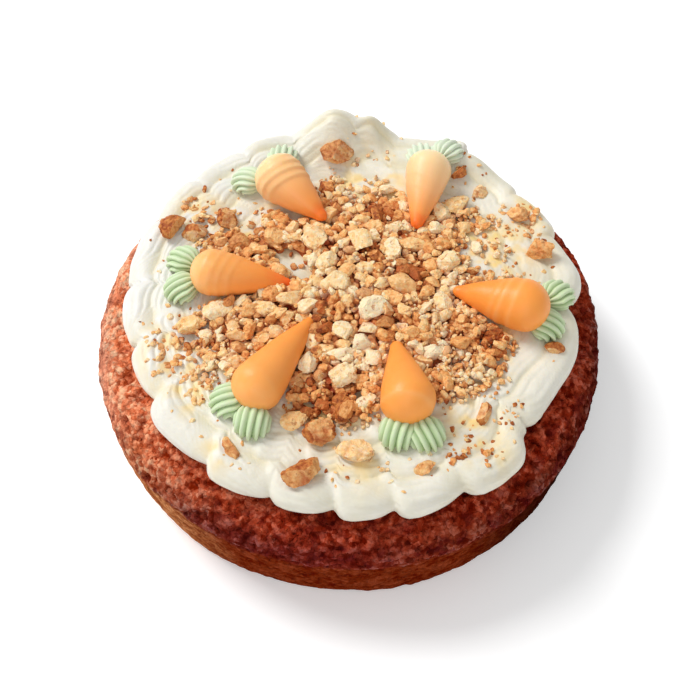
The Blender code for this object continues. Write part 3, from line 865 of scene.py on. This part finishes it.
class Ground:
    """Height of everything that has been laid so far, on a square grid."""

    CELL = 0.8
    HALF = 100

    def __init__(self):
        line = np.arange(-self.HALF, self.HALF, self.CELL) + self.CELL / 2
        self.x, self.y = np.meshgrid(line, line, indexing="ij")
        angle = np.degrees(np.arctan2(self.y, self.x))
        radius = np.hypot(self.x, self.y)
        self.base = frosting_top(self.x, self.y)
        self.bare = radius > frosting_edge(angle) - 4
        self.height = self.base.copy()
        for row in CARROTS:
            a, b = np.array(polar(*row[0])), np.array(polar(*row[1]))
            along = b - a
            length = np.hypot(*along)
            t = np.clip(((self.x - a[0]) * along[0] + (self.y - a[1]) * along[1]) / length**2, -0.2, 1)
            away = np.hypot(self.x - a[0] - t * along[0], self.y - a[1] - t * along[1])
            wide = row[2] + (row[3] - row[2]) * np.clip(t, 0, 1) ** row[4]
            self.bare |= away < wide * (0.92 - 0.3 * smooth((t - 0.5) / 0.5))
            for direction, distance in row[5:]:
                out = np.array(polar(1, direction))
                lx = (self.x - a[0]) * out[0] + (self.y - a[1]) * out[1] - distance
                ly = (self.y - a[1]) * out[0] - (self.x - a[0]) * out[1]
                self.bare |= (lx / 7) ** 2 + (ly / 6.4) ** 2 < 1
        share = radius / heap_reach(angle)
        self.target = np.where(share < 1.04, HEAP_EDGE + (HEAP_CROWN - HEAP_EDGE) * smooth(1.25 * (1 - share)), 0)
        gap = heap_gap(self.x, self.y)
        self.density = 1 - gap
        self.target *= 1 - 0.8 * gap
        self.fine = np.zeros_like(self.x)
        for x, y, wide, deep, amount in FINE_PATCHES:
            near = np.exp(-((((self.x - x) / wide) ** 2 + ((self.y - y) / deep) ** 2) ** 2))
            self.fine = np.maximum(self.fine, amount * near)
        self.dark = np.zeros_like(self.x)
        for x, y, wide, deep, amount in BROWN_PATCHES:
            near = np.exp(-((((self.x - x) / wide) ** 2 + ((self.y - y) / deep) ** 2) ** 1.5))
            self.dark = self.dark * (1 - near) + amount * near

    def window(self, x, y, reach):
        i, j = int((x + self.HALF) / self.CELL), int((y + self.HALF) / self.CELL)
        k = max(int(reach / self.CELL), 1)
        return slice(max(i - k, 0), i + k + 1), slice(max(j - k, 0), j + k + 1)

    def at(self, field, x, y):
        return float(field[int((x + self.HALF) / self.CELL), int((y + self.HALF) / self.CELL)])

    def lay(self, x, y, reach, half, room=None):
        """Rests a piece here and returns the height of its middle, or None if it doesn't fit."""
        part = self.window(x, y, reach * 0.8)
        if self.bare[part].mean() > 0.12:
            return None
        ground = self.height[part]
        floor = 0.7 * ground.mean() + 0.3 * ground.max()
        middle = floor + half * 0.5
        if room is not None:
            base = self.base[part].mean()
            if middle + half - base > self.target[part].mean() + room:
                return None
        away = ((self.x[part] - x) ** 2 + (self.y[part] - y) ** 2) / reach**2
        dome = middle + half * 0.9 * np.sqrt(np.clip(1 - away, 0, 1))
        self.height[part] = np.where(away < 1, np.maximum(self.height[part], dome), self.height[part])
        return middle


class Pile:
    """Many copies of a few shapes, gathered into one mesh."""

    def __init__(self, shapes):
        self.shapes = shapes
        self.points, self.faces, self.looks = [], [], []
        self.count = 0

    def put(self, rng, middle, size, tilt, tone, skin, turn=None):
        points, faces, cut = self.shapes[rng.integers(len(self.shapes))]
        lean, roll = turned(rng, tilt, turn)
        points = points @ roll.T
        points = points / (points.max(0) - points.min(0)) * np.array(size)
        look = np.empty((len(faces), 3, 4), np.float32)
        look[..., 0] = tone
        look[..., 1] = np.where(cut, 0.15, 1)[:, None] * skin
        look[..., 2] = 0
        look[..., 3] = 1
        self.points.append(points @ lean.T + np.array(middle))
        self.faces.append(faces + self.count)
        self.looks.append(look)
        self.count += len(points)

    def finish(self, name, ground):
        """One mesh of all the copies; those that lie deep in the heap are marked for painted shade."""
        points = np.concatenate(self.points)
        faces = np.concatenate(self.faces)
        looks = np.concatenate(self.looks)
        i = np.clip(((points[:, 0] + ground.HALF) / ground.CELL).astype(int), 0, len(ground.x) - 1)
        j = np.clip(((points[:, 1] + ground.HALF) / ground.CELL).astype(int), 0, len(ground.x) - 1)
        # painted shade by how far a point lies below the blurred heap
        under = np.clip((ground.wide[i, j] - points[:, 2] + 0.5) / 3, 0, 1)
        looks[..., 2] = under[faces]
        data = bpy.data.meshes.new(name)
        data.from_pydata(points * MM, [], faces.tolist())
        layer = data.attributes.new("nut", "FLOAT_COLOR", "CORNER")
        layer.data.foreach_set("color", looks.ravel())
        piece = bpy.data.objects.new(name, data)
        bpy.context.scene.collection.objects.link(piece)
        only(piece)
        bpy.ops.object.shade_smooth_by_angle(angle=math.radians(38))
        return piece


def blurred(field, times):
    for _ in range(times):
        field = (field + np.roll(field, 1, 0) + np.roll(field, -1, 0) + np.roll(field, 1, 1) + np.roll(field, -1, 1)) / 5
    return field


def make_heap(finish):
    """The heap: a low crumbly core, then chunks, bits and crumbs laid one after another."""
    ground = Ground()
    rng = np.random.default_rng(17)
    core = ground.base + np.maximum(ground.target - CORE_DEPTH, -1)
    ground.height = np.maximum(ground.base, core)

    lumps = Pile(nut_masters("lump", 10, 4, 5, 0.16))
    chunks = Pile(nut_masters("chunk", 16, 3, 4, 0.22))
    bits = Pile(nut_masters("bit", 14, 2, 2, 0.26))
    crumbs = Pile(nut_masters("crumb", 10, 1, 0, 0.3))

    def spot(reach):
        """A random place in the heap."""
        turn = rng.uniform(0, 360)
        return polar(heap_reach(turn) * math.sqrt(rng.uniform(0, 1)) * reach, turn)

    def look(x, y):
        """Tone and skin of a piece at this place: darker and more often skinned in the brown patches, which is partly
        painted shade.
        """
        dark = ground.at(ground.dark, x, y)
        tone = rng.choice([0.3, 0.52, 0.72, 0.95], p=[0.2, 0.34, 0.28, 0.18]) + rng.uniform(-0.1, 0.1)
        skin = rng.random() < 0.13 + 0.5 * max(dark, 0)
        return tone - 0.55 * dark, float(skin) * rng.uniform(0.6, 1)

    def scatter(pile, tries, low, high, room, tilt, reach, flat=(0.45, 0.7)):
        for _ in range(tries):
            x, y = spot(reach)
            fine = ground.at(ground.fine, x, y)
            if rng.random() > ground.at(ground.density, x, y) * (0.4 + 0.6 * fine if low < 3 else 1 - fine):
                continue
            long = rng.uniform(low, high)
            wide, tall = long * rng.uniform(0.6, 0.9), long * rng.uniform(*flat)
            middle = ground.lay(x, y, (long + wide) * 0.23, tall * 0.45, room)
            if middle is not None:
                pile.put(rng, (x, y, middle), (long, wide, tall), tilt, *look(x, y))

    scatter(bits, 1500, 3.2, 6, -0.8, 0.5, 0.98)
    scatter(chunks, 1000, 4, 8, 0.8, 0.6, 0.99)
    scatter(bits, 3000, 2.2, 5, 0.5, 0.8, 1.02, (0.5, 0.8))
    for x, y, long, wide, turn, tone, skin in KEY_LUMPS:
        tall = 0.62 * wide
        middle = ground.lay(x, y, (long + wide) * 0.23, tall * 0.45)
        if middle is not None:
            lumps.put(rng, (x, y, middle + 0.4), (long, wide, tall), 0.15, tone, skin, turn)
    scatter(lumps, 420, 6.5, 11.5, 2.6, 0.35, 0.93)
    scatter(chunks, 1600, 4, 8, 2.2, 0.6, 0.99)
    scatter(bits, 1200, 2.2, 5, 1.6, 0.8, 1.02, (0.5, 0.8))
    scatter(crumbs, 4500, 1.2, 2.8, 1.6, 0.9, 1.08, (0.6, 0.8))
    for x, y, spread, count, high, tone, skin in SPRINKLES:
        for _ in range(count):
            px, py = x + spread * rng.normal(), y + spread * rng.normal()
            long = rng.uniform(1, high)
            edge = frosting_edge(np.array([math.degrees(math.atan2(py, px))]))[0]
            if math.hypot(px, py) > edge - 4:
                continue
            middle = ground.lay(px, py, long * 0.42, long * 0.3)
            if middle is not None:
                pile = bits if long > 2.6 else crumbs
                size = (long, long * rng.uniform(0.6, 0.9), long * rng.uniform(0.4, 0.6))
                brown = float(rng.random() < skin)
                pile.put(rng, (px, py, middle - 0.25 * long), size, 0.6, tone + rng.uniform(-0.2, 0.2), brown)

    # the blurred heap, for the painted shade of pieces that lie deep in it
    ground.wide = blurred(ground.height, 30)
    kinds = {"walnut_lumps": lumps, "walnut_chunks": chunks, "walnut_bits": bits, "walnut_crumbs": crumbs}
    for name, pile in kinds.items():
        piece = pile.finish(name, ground)
        hand_over(piece, finish, "chopped_walnut", "nut_heap")

    # The core under the pieces, a dark sheet with painted shade where it shows between them
    profile = [(0, 0), (60, 0), (100, 0)]
    profile += [(100 - step * 1.25, 100) for step in range(80)] + [(0, 100)]
    piece = lathe("walnut_core", profile, 300)
    points = points_of(piece) / MM
    x, y, level = points.T
    angle = np.degrees(np.arctan2(y, x))
    radius = np.hypot(x, y) / 100 * heap_reach(angle)
    share = np.hypot(x, y) / 100
    x, y = polar(radius, angle)
    thick = HEAP_EDGE + (HEAP_CROWN - HEAP_EDGE) * smooth(1.25 * (1 - share))
    thick = thick * (1 - 0.8 * heap_gap(x, y))
    top = frosting_top(x, y) + np.maximum(thick - CORE_DEPTH, -1) - 1.5 * heap_gap(x, y)
    top = top + 0.5 * wander(x, y, 3.2, 51) + 0.4 * wander(x, y, 1.7, 52) - 3 * smooth((share - 0.86) / 0.14)
    z = np.where(level > 50, top, FLAT_TOP - 3)
    move_points(piece, np.stack([x, y, z], 1) * MM)
    looks = np.zeros((len(piece.data.loops), 4), np.float32)
    # painted shade: the core is marked as lying deep in the heap
    looks[:, 0], looks[:, 1], looks[:, 2], looks[:, 3] = 0.35, 0.25, 0.75, 1
    layer = piece.data.attributes.new("nut", "FLOAT_COLOR", "CORNER")
    layer.data.foreach_set("color", looks.ravel())
    hand_over(piece, finish, "chopped_walnut", "nut_heap")
    return ground


def make_walnut(number, row, skinned, finish):
    """A walnut piece that lies by itself."""
    radius, angle, long, wide, turn = row
    piece, points, faces, broken = nut_master(f"walnut_piece_{number:02d}", 700 + number, 5, 5, 0.07)
    rng = np.random.default_rng(900 + number)
    x, y = polar(radius, angle)
    roll = Matrix.Rotation(rng.uniform(0, 6), 3, Vector(rng.normal(size=3)).normalized())
    points = points @ np.array(roll).T
    points = points / (points.max(0) - points.min(0)) * np.array((long, wide, wide * 0.75))
    u, v = points[:, 0] + 0.8 * points[:, 2], points[:, 1] - 0.6 * points[:, 2]
    wrinkle = np.abs(wander(u, v, 2.9, 800 + number)) ** 0.6 - 0.5 + 0.35 * wander(u, v, 1.2, 850 + number)
    points = points * (1 + 0.17 * wrinkle)[:, None]
    points = points @ np.array(Matrix.Rotation(math.radians(turn), 3, "Z")).T
    base = float(frosting_under(radius) + frosting_thickness(x, y))
    points = points + np.array((x, y, base + wide * 0.75 / 2 - 1.4))
    move_points(piece, points * MM)
    skin = np.where(broken, 0.25, 1.0) * skinned
    # painted shade in the hollows of the wrinkles
    carry(piece, "nut", rng.uniform(0.4, 0.8), skin, np.clip(0.15 - 0.9 * wrinkle, 0, 1) * (0.4 + 0.6 * skinned))
    only(piece)
    bpy.ops.object.shade_smooth_by_angle(angle=math.radians(38))
    hand_over(piece, finish, "walnut_brown", f"walnut_{number:02d}")


crust, cream, orange, green, nut = (
    crust_finish(), frosting_finish(), carrot_finish(), leaf_finish(), nut_finish()
)
make_sponge(crust)
make_frosting(cream)
for number, (row, ripples, tints) in enumerate(zip(CARROTS, RIPPLES, CARROT_TINTS), 1):
    make_carrot(number, row, ripples, tints, orange)
    for letter, (direction, distance) in zip("ab", row[5:]):
        make_leaf(f"leaf_{number}{letter}", row, direction, distance, number, tints[2] * 0.8, green)
make_heap(nut)
for number, (row, skinned) in enumerate(zip(WALNUTS, WALNUT_SKIN), 1):
    make_walnut(number, row, skinned, nut)


# Floor, light and camera

bpy.ops.object.select_all(action="DESELECT")
bpy.ops.mesh.primitive_plane_add(size=6, location=(0, 0, -0.0005))
floor = bpy.context.object
floor.name = "floor"
surface = Finish("pale_floor", 0.9)
surface.shader.inputs["Base Color"].default_value = (0.97, 0.97, 0.97, 1)
surface.shader.inputs["Emission Color"].default_value = (1, 1, 1, 1)
surface.shader.inputs["Emission Strength"].default_value = 0.2
floor.data.materials.append(surface.made)

world = bpy.data.worlds.new("studio")
bpy.context.scene.world = world
world.use_nodes = True
world.node_tree.nodes["Background"].inputs["Color"].default_value = (1, 1, 1, 1)
world.node_tree.nodes["Background"].inputs["Strength"].default_value = 0.5


def add_light(name, place_, aim, size, power, color=(1, 1, 1)):
    data = bpy.data.lights.new(name, "AREA")
    data.shape = "DISK"
    data.size = size
    data.energy = power
    data.color = color
    light = bpy.data.objects.new(name, data)
    bpy.context.scene.collection.objects.link(light)
    light.location = place_
    light.rotation_euler = (Vector(aim) - Vector(place_)).to_track_quat("-Z", "Y").to_euler()


add_light("window", (-1.75, 1.25, 2.3), (0, 0, 0.04), 1.4, 72)
add_light("bounce", (-0.4, -2.2, 1.6), (0, 0, 0.04), 2.0, 16)

camera_data = bpy.data.cameras.new("camera")
camera_data.sensor_width = 36
camera_data.lens = 50.09
camera_data.shift_x = 1.6 / 700
camera_data.shift_y = -35.5 / 700
camera = bpy.data.objects.new("camera", camera_data)
bpy.context.scene.collection.objects.link(camera)
camera.location = (0, -0.2203, 0.3592)
camera.rotation_euler = (math.radians(34.9), 0, 0)
bpy.context.scene.camera = camera
bpy.context.scene.view_settings.view_transform = "Standard"
